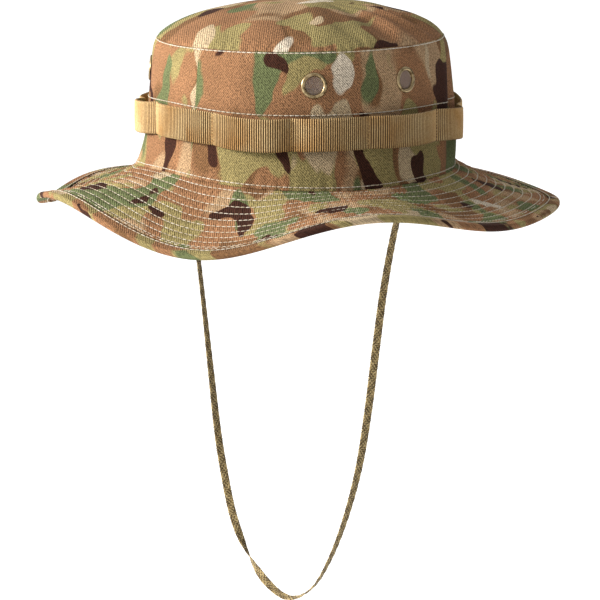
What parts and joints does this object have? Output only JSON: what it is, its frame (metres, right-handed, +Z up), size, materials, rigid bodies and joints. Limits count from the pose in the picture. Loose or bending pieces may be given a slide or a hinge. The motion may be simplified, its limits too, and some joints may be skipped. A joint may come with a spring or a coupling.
{
  "type": "boonie hat",
  "caption": "Soft field hat with a round crown, a wavy stitched brim, a webbing band of foliage loops, screened side vents and a hanging flat chin strap.",
  "frame": {"origin": "centre of the head opening, at the seam where crown, brim and sweatband meet", "axes": "+Z up to the crown, -Y towards the front of the hat, +X towards the wearer's left ear"},
  "size_m": [0.3065, 0.3209, 0.3704],
  "materials": {
    "crown_cloth": null,
    "brim_cloth": "matt printed cotton-blend twill, quilted with rows of pale stitching",
    "binding_cloth": "matt printed twill folded over the brim's edge",
    "stiffening": "plain stiff interlining, hidden",
    "sweatband_cloth": "plain tan cotton tape",
    "label_cloth": "blank woven label",
    "webbing": "ribbed nylon webbing, slight sheen",
    "tack_thread": "dense zigzag thread",
    "antique_brass": "antiqued, satin",
    "washer_brass": "dull",
    "vent_mesh": "fine woven mesh, matt",
    "strap_braid": "flat plaited braid in olive, tan and brown"
  },
  "bodies": {
    "hat": {"crown_top": "crown_cloth", "crown_side": "crown_cloth", "brim_top": "brim_cloth", "brim_interlining": "stiffening", "brim_bottom": "brim_cloth", "brim_binding": "binding_cloth", "sweatband": "sweatband_cloth", "size_label": "label_cloth", "foliage_band": "webbing", "band_bartacks": "tack_thread", "vent_eyelet_left_front": "antique_brass", "vent_eyelet_left_rear": "antique_brass", "vent_eyelet_right_front": "antique_brass", "vent_eyelet_right_rear": "antique_brass", "vent_washer_left_front": "washer_brass", "vent_washer_left_rear": "washer_brass", "vent_washer_right_front": "washer_brass", "vent_washer_right_rear": "washer_brass", "vent_screen_left_front": "vent_mesh", "vent_screen_left_rear": "vent_mesh", "vent_screen_right_front": "vent_mesh", "vent_screen_right_rear": "vent_mesh"},
    "strap": {"chin_strap": "strap_braid", "strap_tacks": "tack_thread"}
  },
  "joints": [
    {"name": "strap_swing", "type": "hinge", "parent": "hat", "child": "strap", "pos_m": [0, -0.008, 0.001], "axis": [1, 0, 0], "range_deg": [-70, 70]}
  ]
}
